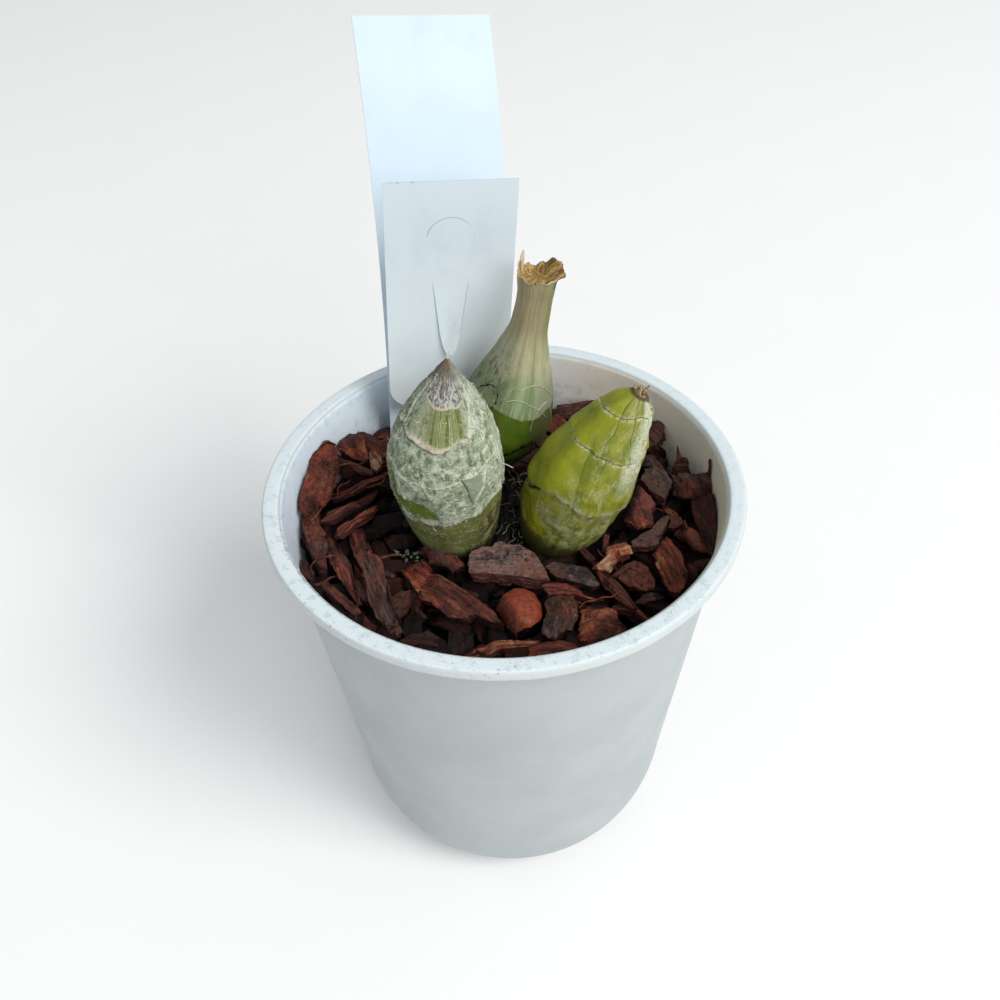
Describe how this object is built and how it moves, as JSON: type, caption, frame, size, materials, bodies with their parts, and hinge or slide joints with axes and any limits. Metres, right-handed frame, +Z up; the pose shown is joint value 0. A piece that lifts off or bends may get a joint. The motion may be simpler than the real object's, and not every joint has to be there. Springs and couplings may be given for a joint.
{
  "type": "potted catasetum orchid",
  "caption": "Dormant orchid with leafless pseudobulbs in a white plastic pot of pine bark, with blank plastic plant labels standing behind it.",
  "frame": {"origin": "on the pot's axis, in the flat underside that the pot stands on", "axes": "+Z up along the pot's axis; -Y is the side with the two nearer pseudobulbs, and the labels stand towards +Y"},
  "size_m": [0.12, 0.1505, 0.2072],
  "materials": {
    "white_plastic": "satin white, slightly see-through, dusted with dark specks on the rim",
    "bark": "rough red-brown pine bark, damp in the gaps",
    "roots": "dark wet rhizome and roots with pale root hairs",
    "bulb_grey_green": "green flesh under a torn, chalky, fibrous sheath",
    "bulb_papery": "green flesh under a beige papery sheath, torn off orange-brown at the neck",
    "bulb_yellow_green": "waxy yellow-green flesh with thin dark rings and pale scars",
    "label_grey": "thin greyish white sheet, blank",
    "label_blue_white": "thin bluish white sheet, blank"
  },
  "bodies": {
    "root": {"pot": "white_plastic", "bark_bed": "bark", "rhizome_and_roots": "roots", "pseudobulb_front": "bulb_grey_green", "pseudobulb_back": "bulb_papery", "pseudobulb_right": "bulb_yellow_green", "label_front": "label_grey", "label_tall": "label_blue_white"}
  },
  "joints": []
}
